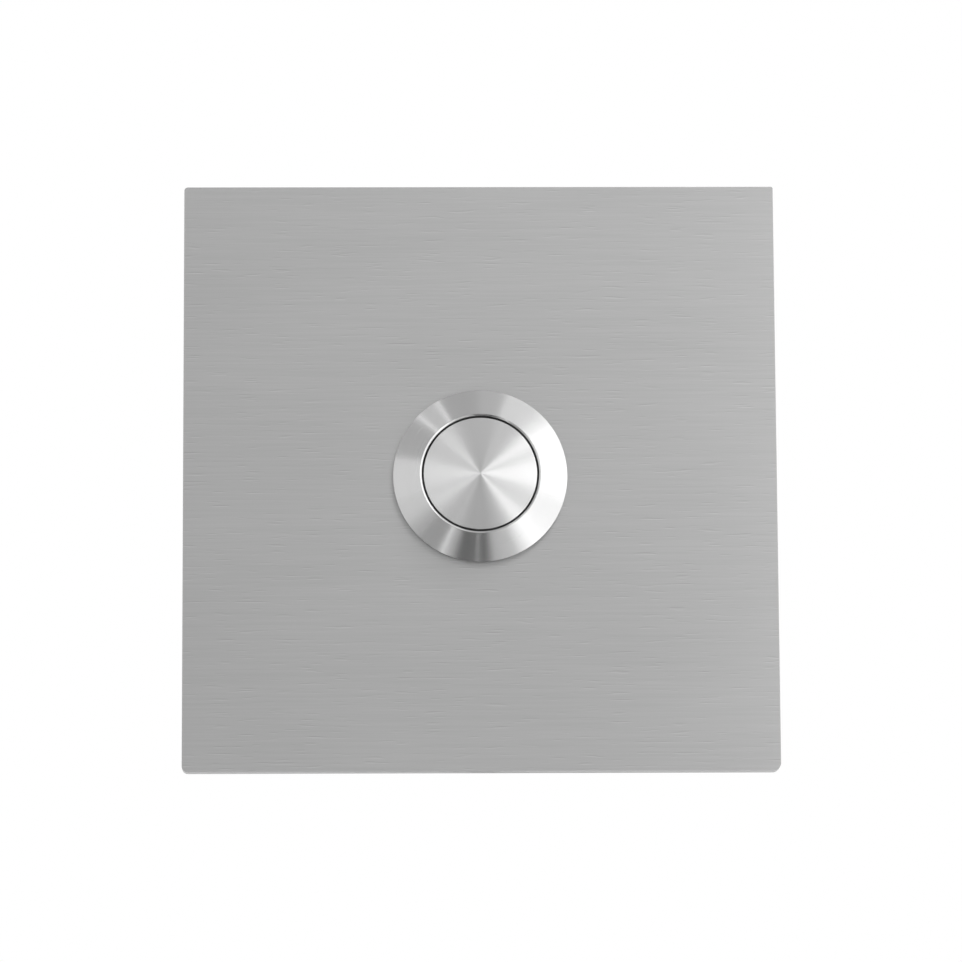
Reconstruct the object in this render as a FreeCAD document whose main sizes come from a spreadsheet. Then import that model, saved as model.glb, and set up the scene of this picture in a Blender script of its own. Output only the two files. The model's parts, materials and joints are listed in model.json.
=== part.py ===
import FreeCAD, Part
import os
import re

import Sketcher

# Doorbell button: a square stainless plate with a turned push button in its middle, fixed to the
# wall by studs on its back. Front is -Y, up is +Z, the wall's face is the plane Y = 0, and the
# button's axis is the Y axis. Each piece is drawn about its own Z axis, which points to the wall,
# with Z = 0 at its own front end, and its Placement turns it and sets its depth.

# Driving sizes, in millimetres
SIZES = {
    # brushed plate: the four corners are eased by hand, each by its own amount
    "plate_width": 75.0,
    "plate_height": 75.0,
    "plate_thickness": 2.0,
    "plate_edge_break": 0.15,
    "corner_top_left": 0.30,
    "corner_top_right": 0.10,
    "corner_bottom_left": 0.55,
    "corner_bottom_right": 0.85,
    "plate_hole_clearance": 0.1,
    # weld studs, M4
    "stud_edge_distance": 10.0,
    "stud_radius": 2.0,
    "stud_length": 20.0,
    "stud_tip_chamfer": 0.5,
    "stud_flange_width": 0.75,
    "stud_flange_thickness": 0.8,
    # foam frame between plate and wall
    "gasket_thickness": 1.0,
    "gasket_inset": 1.5,
    "gasket_band": 14.0,
    "gasket_outer_corner": 2.0,
    "gasket_inner_corner": 3.0,
    "gasket_hole_clearance": 0.5,
    # bezel and barrel, turned in one piece
    "bezel_height": 2.2,
    "bezel_foot_height": 0.4,
    "bezel_overhang": 1.5,
    "bezel_rim_chamfer": 0.2,
    "barrel_wall": 1.3,
    "barrel_end_chamfer": 0.6,
    "barrel_tail": 1.0,
    "web_lip": 1.0,
    "guide_clearance": 0.05,
    # flat seal in a recess under the bezel
    "bezel_seal_width": 0.8,
    "bezel_seal_thickness": 0.35,
    # lock washer and nut behind the plate
    "thread_clearance": 0.05,
    "lock_washer_width": 1.9,
    "lock_washer_thickness": 0.8,
    "lock_washer_bore_gap": 0.15,
    "lock_notch_width": 1.2,
    "lock_notch_depth": 0.8,
    "nut_wall": 1.5,
    "nut_thickness": 3.0,
    "nut_corner_fall": 0.5,
    # push cap with its stem
    "cap_radius": 7.15,
    "cap_gap": 0.25,
    "cap_recess": 0.05,
    "cap_crown": 0.12,
    "cap_edge_chamfer": 0.15,
    "cap_thickness": 2.6,
    "stem_radius": 4.0,
    "stem_tail": 1.2,
    "stem_end_chamfer": 0.2,
    "button_travel": 1.5,
    "stop_clearance": 0.15,
    # ring seals
    "stem_seal_section": 1.1,
    "base_seal_section": 1.1,
    "seal_side_room": 0.2,
    # open clip on the stem
    "clip_thickness": 0.6,
    "clip_groove_depth": 0.8,
    "clip_stand_out": 1.6,
    "clip_mouth_width": 4.8,
    "clip_play": 0.05,
    # plunger, pin and keeper
    "spigot_radius": 1.5,
    "spigot_length": 3.0,
    "push_fit": 0.02,
    "flange_thickness": 1.5,
    "flange_margin": 0.15,
    "pin_radius": 1.15,
    "pin_tail": 0.5,
    "pin_tip_chamfer": 0.2,
    "keeper_width": 0.85,
    "keeper_thickness": 0.4,
    "keeper_play": 0.05,
    # springs
    "return_wire": 0.5,
    "return_turns": 5.0,
    "contact_wire": 0.3,
    "contact_turns": 5.0,
    "contact_spring_room": 0.45,
    "contact_spring_length": 3.2,
    "spring_end_gap": 0.05,
    "spring_side_gap": 0.55,
    "spring_wall_gap": 0.95,
    # bridge and contacts
    "bridge_overtravel": 0.5,
    "bridge_thickness": 0.5,
    "bridge_width": 3.0,
    "bridge_end_margin": 0.3,
    "bridge_end_radius": 0.8,
    "bridge_hole_clearance": 0.1,
    "contact_radius": 1.1,
    "contact_height": 0.4,
    "contact_shank_radius": 0.5,
    "contact_clearance": 0.05,
    "contact_keeper_gap": 0.5,
    # brass terminals
    "strip_thickness": 0.6,
    "strip_width": 2.4,
    "terminal_gap": 2.4,
    "terminal_pad_width": 5.0,
    "terminal_pad_thickness": 0.8,
    "leg_clearance": 0.75,
    # moulded base
    "base_clearance": 0.05,
    "base_front_land": 1.2,
    "base_back_land": 1.2,
    "boss_wall": 0.4,
    "boss_height": 3.0,
    "slot_clearance": 0.03,
    "pin_pocket_clearance": 0.4,
    "barrier_thickness": 1.0,
    "barrier_overlap": 1.0,
    "barrier_stand_out": 0.3,
    # circlip behind the base
    "ring_thickness": 0.8,
    "ring_groove_depth": 0.6,
    "ring_play": 0.05,
    "ring_gap_width": 3.6,
    "lug_radius": 0.8,
    "lug_hole_radius": 0.45,
    "lug_boss_gap": 0.3,
    # terminal screws, M2.5, and square wire plates
    "screw_radius": 1.25,
    "screw_edge": 2.4,
    "screw_head_overhang": 1.0,
    "screw_head_height": 1.6,
    "screw_slot_width": 0.6,
    "screw_slot_depth": 0.8,
    "screw_length": 3.6,
    "screw_tip_chamfer": 0.3,
    "wire_plate_thickness": 0.5,
    "wire_plate_margin": 1.05,
    "wire_plate_clearance": 0.1,
}

# Sizes that follow from the driving ones
DERIVED = {
    # depths along the axis, from the wall's face, negative towards the front
    "plate_back": "-gasket_thickness",
    "plate_front": "plate_back - plate_thickness",
    "bezel_front": "plate_front - bezel_height",
    "cap_apex": "bezel_front + cap_recess",
    "head_back": "cap_apex + cap_thickness",
    "web_front": "head_back + button_travel + stop_clearance",
    "stem_seal_front": "web_front + web_lip",
    "stem_seal_back": "stem_seal_front + stem_seal_section + seal_side_room",
    "web_back": "stem_seal_back + web_lip",
    "clip_front": "web_back + clip_play",
    "clip_back": "clip_front + clip_thickness",
    "stem_end": "clip_back + stem_tail",
    "flange_back": "stem_end + flange_thickness",
    "bridge_front": "flange_back + contact_spring_length",
    "bridge_back": "bridge_front + bridge_thickness",
    "keeper_front": "bridge_back + keeper_play",
    "pin_end": "keeper_front + keeper_thickness + pin_tail",
    "fixed_contact_front":
        "bridge_back + contact_height + button_travel - bridge_overtravel + contact_clearance",
    "blade_front": "fixed_contact_front + contact_height",
    "base_front": "blade_front + strip_thickness",
    "base_seal_front": "base_front + base_front_land",
    "base_seal_back": "base_seal_front + base_seal_section + seal_side_room",
    "base_back": "base_seal_back + base_back_land",
    "ring_groove_back": "base_back + ring_thickness + ring_play",
    "barrel_end": "ring_groove_back + barrel_tail",
    "boss_back": "base_back + boss_height",
    "pad_back": "boss_back + terminal_pad_thickness",
    "wire_plate_back": "pad_back + wire_plate_thickness",
    # places across the axis
    "pad_inner": "terminal_gap / 2",
    "screw_offset": "pad_inner + screw_edge",
    "leg_inner": "screw_offset + screw_radius + leg_clearance",
    "leg_outer": "leg_inner + strip_thickness",
    "keeper_radius": "pin_radius + keeper_width",
    "contact_offset": "keeper_radius + contact_keeper_gap + contact_radius",
    "blade_inner": "keeper_radius + contact_keeper_gap - slot_clearance",
    "boss_radius": "leg_outer + boss_wall",
    "return_inner": "leg_outer + spring_side_gap",
    "return_mean": "return_inner + return_wire / 2",
    "return_outer": "return_inner + return_wire",
    "contact_spring_mean": "pin_radius + contact_spring_room + contact_wire / 2",
    "rear_bore": "return_outer + spring_wall_gap",
    "barrel_radius": "rear_bore + barrel_wall",
    "bezel_radius": "barrel_radius + bezel_overhang",
    "bezel_seal_outer": "barrel_radius + bezel_seal_width",
    "cap_bore": "cap_radius + cap_gap",
    "guide_bore": "stem_radius + guide_clearance",
    "stem_seal_floor": "guide_bore + stem_seal_section",
    "base_radius": "rear_bore - base_clearance",
    "base_seal_floor": "rear_bore - base_seal_section",
    "ring_floor": "rear_bore + ring_groove_depth",
    "ring_outer": "ring_floor - ring_play",
    "lug_path": "boss_radius + lug_boss_gap + lug_radius",
    "clip_seat": "stem_radius - clip_groove_depth",
    "stud_across": "plate_width / 2 - stud_edge_distance",
    "stud_up": "plate_height / 2 - stud_edge_distance",
    "stud_flange_radius": "stud_radius + stud_flange_width",
    "nut_apothem": "barrel_radius + nut_wall",
    "nut_corner": "nut_apothem / cos(30 deg)",
}

NAME = re.compile(r"[a-z]+(?:_[a-z]+)+")
TURN_TO_WALL = FreeCAD.Rotation(FreeCAD.Vector(1, 0, 0), -90)
HALF_TURN = FreeCAD.Rotation(FreeCAD.Vector(0, 0, 1), 180)
LOCK_NOTCHES = 16
ZERO = 1e-9

doc = FreeCAD.newDocument("DoorbellButton")
sheet = doc.addObject("Spreadsheet::Sheet", "Sizes")
for row, (name, size) in enumerate(SIZES.items(), start=1):
    sheet.set(f"A{row}", name)
    sheet.set(f"B{row}", str(size))
    sheet.setAlias(f"B{row}", name)
doc.recompute()


def formula(text):
    """The text as an expression on the sheet's cells, with derived names written out."""
    def cell(match):
        name = match.group(0)
        if name in DERIVED:
            return f"({formula(DERIVED[name])})"
        return f"Sizes.{name}"
    return NAME.sub(cell, text)


def value(text):
    """The number that a formula has now."""
    return float(sheet.evalExpression(formula(text)))


# Sketches

def new_sketch(body, name, plane="XY_Plane"):
    """An empty sketch on one of the body's own origin planes."""
    sketch = body.newObject("Sketcher::SketchObject", name)
    planes = {feature.Role: feature for feature in body.Origin.OriginFeatures}
    sketch.AttachmentSupport = (planes[plane], [""])
    sketch.MapMode = "FlatFace"
    return sketch


def pin_point(sketch, edge, end, point):
    """Holds one end of an edge at the place that two formulas give."""
    for kind, axis, text in (("DistanceX", -2, point[0]), ("DistanceY", -1, point[1])):
        size = value(text)
        if abs(size) < ZERO:
            sketch.addConstraint(Sketcher.Constraint("PointOnObject", edge, end, axis))
        else:
            number = sketch.addConstraint(Sketcher.Constraint(kind, -1, 1, edge, end, size))
            sketch.setExpression(f"Constraints[{number}]", formula(text))


def draw_outline(sketch, points, crown=None):
    """A closed outline through the points; a crown is the height that the first edge arches."""
    places = [FreeCAD.Vector(value(x), value(y), 0) for x, y in points]
    first = sketch.GeometryCount
    ends = []
    for start, stop in zip(places, places[1:] + places[:1]):
        if crown is not None and not ends:
            rise, reach = value(crown), stop.x
            radius = (reach ** 2 + rise ** 2) / (2 * rise)
            middle = FreeCAD.Vector(reach / 2, radius - (radius ** 2 - reach ** 2 / 4) ** 0.5, 0)
            edge = sketch.addGeometry(Part.Arc(start, middle, stop), False)
            sketch.addConstraint(Sketcher.Constraint("PointOnObject", edge, 3, -2))
        else:
            edge = sketch.addGeometry(Part.LineSegment(start, stop), False)
        starts_first = sketch.getPoint(edge, 1).distanceToPoint(start) < ZERO
        ends.append((1, 2) if starts_first else (2, 1))
    count = len(points)
    for index, point in enumerate(points):
        following = (index + 1) % count
        sketch.addConstraint(Sketcher.Constraint(
            "Coincident", first + index, ends[index][1], first + following, ends[following][0]))
        pin_point(sketch, first + index, ends[index][0], point)


def draw_circle(sketch, across, along, radius):
    """A circle whose centre and radius are formulas."""
    centre = FreeCAD.Vector(value(across), value(along), 0)
    up = FreeCAD.Vector(0, 0, 1)
    edge = sketch.addGeometry(Part.Circle(centre, up, value(radius)), False)
    pin_point(sketch, edge, 3, (across, along))
    number = sketch.addConstraint(Sketcher.Constraint("Radius", edge, value(radius)))
    sketch.setExpression(f"Constraints[{number}]", formula(radius))


def rectangle(low_x, high_x, low_y, high_y):
    """The four corners of a rectangle between formulas."""
    return [(low_x, low_y), (high_x, low_y), (high_x, high_y), (low_x, high_y)]


# Features

def turn_outline(body, name, points, crown=None):
    """Turns a half section, given as radius and depth, about the piece's axis."""
    sketch = new_sketch(body, f"{name}_section", "XZ_Plane")
    draw_outline(sketch, points, crown)
    turned = body.newObject("PartDesign::Revolution", name)
    turned.Profile = sketch
    turned.ReferenceAxis = (sketch, ["V_Axis"])
    turned.Angle = 360
    return turned


def add_pad(body, sketch, length, midplane=False):
    """Raises a sketch by a length, or by half of it to each side."""
    pad = body.newObject("PartDesign::Pad", f"{sketch.Name}_pad")
    pad.Profile = sketch
    pad.setExpression("Length", formula(length))
    pad.Midplane = midplane
    return pad


def solid_volume(body):
    """The volume of the body as it stands."""
    doc.recompute()
    return body.Shape.Volume


def cut_pocket(body, sketch, depth=None):
    """Cuts a sketch into the body along its axis, through all when no depth is given."""
    before = solid_volume(body)
    pocket = body.newObject("PartDesign::Pocket", f"{sketch.Name}_cut")
    pocket.Profile = sketch
    if depth is None:
        pocket.Type = "ThroughAll"
        pocket.Midplane = True
    else:
        pocket.Reversed = True
        pocket.setExpression("Length", formula(depth))
    if not solid_volume(body) < before:
        raise RuntimeError(f"{pocket.Name} cuts nothing")
    return pocket


def edges_where(shape, test):
    """Names of the edges whose middle point passes a test."""
    return [f"Edge{number}" for number, edge in enumerate(shape.Edges, start=1)
            if test(edge, edge.valueAt((edge.FirstParameter + edge.LastParameter) / 2))]


def dress_edges(body, kind, name, test, size):
    """A Fillet or Chamfer on the edges of the body's tip that pass a test."""
    doc.recompute()
    tip = body.Tip
    dress = body.newObject(f"PartDesign::{kind}", name)
    dress.Base = (tip, edges_where(tip.Shape, test))
    dress.setExpression("Radius" if kind == "Fillet" else "Size", formula(size))
    return dress


def runs_upright(edge, middle):
    """True for an edge that runs along the piece's axis."""
    return edge.BoundBox.ZLength > edge.BoundBox.XLength + edge.BoundBox.YLength


def corner_at(across, along):
    """A test for the upright edge at one corner, which the signs of its place tell."""
    def test(edge, middle):
        return runs_upright(edge, middle) and middle.x * across > 0 and middle.y * along > 0
    return test


# Placement and groups

def new_body(label):
    """An empty body with its label."""
    body = doc.addObject("PartDesign::Body", label)
    body.Label = label
    return body


def set_depth(piece, depth):
    """Turns a piece to face the front and sets its own front end at a depth."""
    piece.Placement = FreeCAD.Placement(FreeCAD.Vector(), TURN_TO_WALL)
    piece.setExpression(".Placement.Base.y", formula(depth))
    return piece


def mirrored(source, normal):
    """The source seen in a mirror through the axis."""
    copy = doc.addObject("Part::Mirroring", f"{source.Name}_mirror")
    copy.Source = source
    copy.Normal = normal
    return copy


def grouped(label, links):
    """Several separate solids as one piece of the list."""
    group = doc.addObject("Part::Compound", label)
    group.Label = label
    group.Links = links
    return group


def mirrored_pair(label, source):
    """A piece and its twin on the other side of the axis."""
    return grouped(label, [source, mirrored(source, FreeCAD.Vector(1, 0, 0))])


# Plate, studs and gasket

def make_face_plate():
    """The brushed plate, with its corners and front edges eased and the button's hole."""
    body = new_body("face_plate")
    outline = new_sketch(body, "plate_outline")
    draw_outline(outline, rectangle("-plate_width / 2", "plate_width / 2",
                                    "-plate_height / 2", "plate_height / 2"))
    add_pad(body, outline, "plate_thickness")
    corners = {"corner_top_left": (-1, -1), "corner_top_right": (1, -1),
               "corner_bottom_left": (-1, 1), "corner_bottom_right": (1, 1)}
    for name, signs in corners.items():
        dress_edges(body, "Fillet", f"{name}_fillet", corner_at(*signs),
                    f"{name} + plate_edge_break")
    dress_edges(body, "Chamfer", "front_edge_break", lambda edge, middle: middle.z < ZERO,
                "plate_edge_break")
    hole = new_sketch(body, "button_hole")
    draw_circle(hole, "0", "0", "barrel_radius + plate_hole_clearance")
    cut_pocket(body, hole)
    return set_depth(body, "plate_front")


def make_mounting_studs():
    """Four studs with the flanges that are welded to the plate's back."""
    stud = new_body("stud")
    turn_outline(stud, "stud_turned", [
        ("0", "0"),
        ("stud_flange_radius", "0"),
        ("stud_flange_radius", "stud_flange_thickness"),
        ("stud_radius", "stud_flange_thickness"),
        ("stud_radius", "stud_length - stud_tip_chamfer"),
        ("stud_radius - stud_tip_chamfer", "stud_length"),
        ("0", "stud_length"),
    ])
    stud.setExpression(".Placement.Base.x", formula("stud_across"))
    stud.setExpression(".Placement.Base.y", formula("stud_up"))
    lower_pair = mirrored_pair("stud_pair", stud)
    upper_pair = mirrored(lower_pair, FreeCAD.Vector(0, 1, 0))
    return set_depth(grouped("mounting_studs", [lower_pair, upper_pair]), "plate_back")


def make_wall_gasket():
    """The foam frame, with holes for the studs and a window for the button."""
    body = new_body("wall_gasket")
    outer_across = "plate_width / 2 - gasket_inset"
    outer_up = "plate_height / 2 - gasket_inset"
    outline = new_sketch(body, "gasket_outline")
    draw_outline(outline, rectangle(f"-({outer_across})", outer_across, f"-({outer_up})", outer_up))
    add_pad(body, outline, "gasket_thickness")
    dress_edges(body, "Fillet", "gasket_corners", runs_upright, "gasket_outer_corner")
    window = new_sketch(body, "gasket_window")
    inner_across = f"{outer_across} - gasket_band"
    inner_up = f"{outer_up} - gasket_band"
    draw_outline(window, rectangle(f"-({inner_across})", inner_across, f"-({inner_up})", inner_up))
    cut_pocket(body, window)
    reach_across, reach_up = value(inner_across), value(inner_up)
    dress_edges(
        body, "Fillet", "window_corners",
        lambda edge, middle: runs_upright(edge, middle)
        and abs(abs(middle.x) - reach_across) < ZERO and abs(abs(middle.y) - reach_up) < ZERO,
        "gasket_inner_corner")
    holes = new_sketch(body, "stud_holes")
    for across in ("", "-"):
        for along in ("", "-"):
            draw_circle(holes, f"{across}stud_across", f"{along}stud_up",
                        "stud_flange_radius + gasket_hole_clearance")
    cut_pocket(body, holes)
    return set_depth(body, "plate_back")


# Turned body, its seal, washer and nut

def make_button_body():
    """Bezel, barrel and the web that guides the stem, as one turned section."""
    body = new_body("button_body")
    front = "bezel_front"
    turn_outline(body, "body_turned", [
        ("cap_bore", "bezel_rim_chamfer"),
        ("cap_bore + bezel_rim_chamfer", "0"),
        ("bezel_radius", "bezel_height - bezel_foot_height"),
        ("bezel_radius", "bezel_height"),
        ("bezel_seal_outer", "bezel_height"),
        ("bezel_seal_outer", "bezel_height - bezel_seal_thickness"),
        ("barrel_radius", "bezel_height - bezel_seal_thickness"),
        ("barrel_radius", f"barrel_end - barrel_end_chamfer - {front}"),
        ("barrel_radius - barrel_end_chamfer", f"barrel_end - {front}"),
        ("rear_bore", f"barrel_end - {front}"),
        ("rear_bore", f"ring_groove_back - {front}"),
        ("ring_floor", f"ring_groove_back - {front}"),
        ("ring_floor", f"base_back - {front}"),
        ("rear_bore", f"base_back - {front}"),
        ("rear_bore", f"web_back - {front}"),
        ("guide_bore", f"web_back - {front}"),
        ("guide_bore", f"stem_seal_back - {front}"),
        ("stem_seal_floor", f"stem_seal_back - {front}"),
        ("stem_seal_floor", f"stem_seal_front - {front}"),
        ("guide_bore", f"stem_seal_front - {front}"),
        ("guide_bore", f"web_front - {front}"),
        ("cap_bore", f"web_front - {front}"),
    ])
    return set_depth(body, front)


def make_ring(label, inner, outer, thickness, depth):
    """A flat turned ring."""
    body = new_body(label)
    turn_outline(body, f"{label}_turned", rectangle(inner, outer, "0", thickness))
    return set_depth(body, depth)


def make_ring_seal(label, path, section, middle):
    """A round ring seal, its section's centre running on a circle."""
    ring = doc.addObject("Part::Torus", label)
    ring.Label = label
    ring.setExpression("Radius1", formula(path))
    ring.setExpression("Radius2", formula(f"{section} / 2"))
    return set_depth(ring, middle)


def make_lock_washer():
    """The washer behind the plate, with notches round its bore."""
    bore = "barrel_radius + lock_washer_bore_gap"
    body = make_ring("lock_washer", bore, "barrel_radius + lock_washer_width",
                     "lock_washer_thickness", "plate_back")
    notch = new_sketch(body, "lock_notch")
    draw_outline(notch, rectangle("barrel_radius", f"{bore} + lock_notch_depth",
                                  "-lock_notch_width / 2", "lock_notch_width / 2"))
    cut = cut_pocket(body, notch)
    pattern = body.newObject("PartDesign::PolarPattern", "lock_notches")
    pattern.Originals = [cut]
    pattern.Axis = (notch, ["N_Axis"])
    pattern.Angle = 360
    pattern.Occurrences = LOCK_NOTCHES
    body.Tip = pattern
    return body


def make_clamp_nut():
    """The hexagon nut, its corners turned down at both ends."""
    body = new_body("clamp_nut")
    hexagon = new_sketch(body, "nut_hexagon")
    draw_outline(hexagon, [(f"nut_corner * cos({60 * side} deg)", f"nut_corner * sin({60 * side} deg)")
                           for side in range(6)])
    add_pad(body, hexagon, "nut_thickness")
    ends = {"nut_front_fall": ("0", "nut_corner_fall"),
            "nut_back_fall": ("nut_thickness", "nut_thickness - nut_corner_fall")}
    for name, (face, fall) in ends.items():
        before = solid_volume(body)
        section = new_sketch(body, f"{name}_section", "XZ_Plane")
        draw_outline(section, [("nut_apothem", face), ("nut_corner", fall), ("nut_corner", face)])
        groove = body.newObject("PartDesign::Groove", name)
        groove.Profile = section
        groove.ReferenceAxis = (section, ["V_Axis"])
        groove.Angle = 360
        if not solid_volume(body) < before:
            raise RuntimeError(f"{name} cuts nothing")
    bore = new_sketch(body, "nut_bore")
    draw_circle(bore, "0", "0", "barrel_radius + thread_clearance")
    cut_pocket(body, bore)
    return set_depth(body, "plate_back + lock_washer_thickness")


# Cap, clip and plunger

def make_push_cap():
    """The crowned cap with its stem, clip groove and the hole for the spigot."""
    body = new_body("push_cap")
    front = "cap_apex"
    turn_outline(body, "cap_turned", [
        ("0", "0"),
        ("cap_radius - cap_edge_chamfer", "cap_crown"),
        ("cap_radius", "cap_crown + cap_edge_chamfer"),
        ("cap_radius", "cap_thickness"),
        ("stem_radius", "cap_thickness"),
        ("stem_radius", f"clip_front - push_fit - {front}"),
        ("clip_seat", f"clip_front - push_fit - {front}"),
        ("clip_seat", f"clip_back + push_fit - {front}"),
        ("stem_radius", f"clip_back + push_fit - {front}"),
        ("stem_radius", f"stem_end - stem_end_chamfer - {front}"),
        ("stem_radius - stem_end_chamfer", f"stem_end - {front}"),
        ("spigot_radius + push_fit", f"stem_end - {front}"),
        ("spigot_radius + push_fit", f"stem_end - spigot_length - push_fit - {front}"),
        ("0", f"stem_end - spigot_length - push_fit - {front}"),
    ], crown="cap_crown")
    return set_depth(body, front)


def make_cap_retaining_clip():
    """The open clip in the stem's groove, its mouth downwards."""
    body = new_body("cap_retaining_clip")
    ring = new_sketch(body, "clip_ring")
    draw_circle(ring, "0", "0", "stem_radius + clip_stand_out")
    draw_circle(ring, "0", "0", "clip_seat + push_fit")
    add_pad(body, ring, "clip_thickness")
    mouth = new_sketch(body, "clip_mouth")
    draw_outline(mouth, rectangle("-clip_mouth_width / 2", "clip_mouth_width / 2",
                                  "0", "stem_radius + 2 * clip_stand_out"))
    cut_pocket(body, mouth)
    return set_depth(body, "clip_front")


def make_plunger():
    """Spigot, flange and pin, pushed by the stem."""
    body = new_body("plunger")
    front = "stem_end - spigot_length"
    flange = "return_outer + flange_margin"
    turn_outline(body, "plunger_turned", [
        ("0", "0"),
        ("spigot_radius", "0"),
        ("spigot_radius", "spigot_length"),
        (flange, "spigot_length"),
        (flange, "spigot_length + flange_thickness"),
        ("pin_radius", "spigot_length + flange_thickness"),
        ("pin_radius", f"pin_end - pin_tip_chamfer - ({front})"),
        ("pin_radius - pin_tip_chamfer", f"pin_end - ({front})"),
        ("0", f"pin_end - ({front})"),
    ])
    return set_depth(body, front)


# Springs

def make_coil(label, mean, wire, turns, room, depth):
    """A coil spring that fills the room between its two seats, less a gap at each end."""
    body = new_body(label)
    section = new_sketch(body, f"{label}_wire", "XZ_Plane")
    draw_circle(section, mean, f"{wire} / 2", f"{wire} / 2")
    coil = body.newObject("PartDesign::AdditiveHelix", f"{label}_coil")
    coil.Profile = section
    coil.ReferenceAxis = (section, ["V_Axis"])
    coil.Mode = "height-turns-angle"
    coil.Angle = 0
    coil.setExpression("Turns", formula(turns))
    coil.setExpression("Height", formula(f"{room} - 2 * spring_end_gap - {wire}"))
    return set_depth(body, f"{depth} + spring_end_gap")


# Bridge and contacts

def make_contact_bridge():
    """The strip that joins the contacts, loose on the pin."""
    body = new_body("contact_bridge")
    half_length = "contact_offset + contact_radius + bridge_end_margin"
    strip = new_sketch(body, "bridge_strip")
    draw_outline(strip, rectangle(f"-({half_length})", half_length,
                                  "-bridge_width / 2", "bridge_width / 2"))
    add_pad(body, strip, "bridge_thickness")
    dress_edges(body, "Fillet", "bridge_ends", runs_upright, "bridge_end_radius")
    holes = new_sketch(body, "bridge_holes")
    draw_circle(holes, "0", "0", "pin_radius + bridge_hole_clearance")
    for side in ("", "-"):
        draw_circle(holes, f"{side}contact_offset", "0", "contact_shank_radius + push_fit")
    cut_pocket(body, holes)
    return set_depth(body, "bridge_front")


def make_contact_pair(label, shank, head_first, depth):
    """Two contact rivets, with their heads to the front or to the back."""
    rivet = new_body(f"{label}_rivet")
    length = f"contact_height + {shank}"
    if head_first:
        section = [("0", "0"), ("contact_radius", "0"), ("contact_radius", "contact_height"),
                   ("contact_shank_radius", "contact_height"), ("contact_shank_radius", length),
                   ("0", length)]
    else:
        section = [("0", "0"), ("contact_shank_radius", "0"), ("contact_shank_radius", shank),
                   ("contact_radius", shank), ("contact_radius", length), ("0", length)]
    turn_outline(rivet, f"{label}_turned", section)
    rivet.setExpression(".Placement.Base.x", formula("contact_offset"))
    return set_depth(mirrored_pair(label, rivet), depth)


# Terminals, base and what holds the base

def make_terminal(label, half_turn):
    """A bent brass strip with a contact blade in front and a screw pad behind."""
    body = new_body(label)
    back = "boss_back - blade_front"
    strip = new_sketch(body, f"{label}_strip", "XZ_Plane")
    draw_outline(strip, [
        ("blade_inner", "0"),
        ("leg_outer", "0"),
        ("leg_outer", back),
        ("leg_inner", back),
        ("leg_inner", "strip_thickness"),
        ("blade_inner", "strip_thickness"),
    ])
    add_pad(body, strip, "strip_width", midplane=True)
    pad = new_sketch(body, f"{label}_pad", "XZ_Plane")
    draw_outline(pad, rectangle("pad_inner", "leg_outer", back, f"{back} + terminal_pad_thickness"))
    add_pad(body, pad, "terminal_pad_width", midplane=True)
    rivet_hole = new_sketch(body, f"{label}_rivet_hole")
    draw_circle(rivet_hole, "contact_offset", "0", "contact_shank_radius + push_fit")
    cut_pocket(body, rivet_hole, "strip_thickness")
    screw_hole = new_sketch(body, f"{label}_screw_hole")
    screw_hole.setExpression(".AttachmentOffset.Base.z", formula(back))
    draw_circle(screw_hole, "screw_offset", "0", "screw_radius + push_fit")
    cut_pocket(body, screw_hole, "terminal_pad_thickness")
    set_depth(body, "blade_front")
    if half_turn:
        body.Placement.Rotation = TURN_TO_WALL.multiply(HALF_TURN)
    return body


def make_switch_base():
    """The plug that closes the barrel and holds the terminals apart."""
    body = new_body("switch_base")
    front = "base_front"
    back = f"boss_back - {front}"
    turn_outline(body, "base_turned", [
        ("0", "0"),
        ("base_radius", "0"),
        ("base_radius", f"base_seal_front - {front}"),
        ("base_seal_floor", f"base_seal_front - {front}"),
        ("base_seal_floor", f"base_seal_back - {front}"),
        ("base_radius", f"base_seal_back - {front}"),
        ("base_radius", f"base_back - {front}"),
        ("boss_radius", f"base_back - {front}"),
        ("boss_radius", back),
        ("0", back),
    ])
    barrier = new_sketch(body, "barrier")
    barrier.setExpression(".AttachmentOffset.Base.z", formula(back))
    reach = "terminal_pad_width / 2 + barrier_overlap"
    draw_outline(barrier, rectangle("-barrier_thickness / 2", "barrier_thickness / 2",
                                    f"-({reach})", reach))
    add_pad(body, barrier, "terminal_pad_thickness + wire_plate_thickness + screw_head_height"
                           " + barrier_stand_out")
    slots = new_sketch(body, "leg_slots")
    for side in ("", "-"):
        draw_outline(slots, rectangle(
            f"{side}(leg_inner - slot_clearance)", f"{side}(leg_outer + slot_clearance)",
            f"{side}(-strip_width / 2 - slot_clearance)", f"{side}(strip_width / 2 + slot_clearance)"))
    cut_pocket(body, slots)
    pocket = new_sketch(body, "pin_pocket")
    draw_circle(pocket, "0", "0", "keeper_radius + pin_pocket_clearance")
    cut_pocket(body, pocket, "button_travel + pin_pocket_clearance")
    screws = new_sketch(body, "screw_holes")
    screw_depth = "screw_length - terminal_pad_thickness - wire_plate_thickness + push_fit"
    screws.setExpression(".AttachmentOffset.Base.z", formula(f"{back} - ({screw_depth})"))
    for side in ("", "-"):
        draw_circle(screws, f"{side}screw_offset", "0", "screw_radius + push_fit")
    cut_pocket(body, screws, screw_depth)
    return set_depth(body, front)


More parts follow.
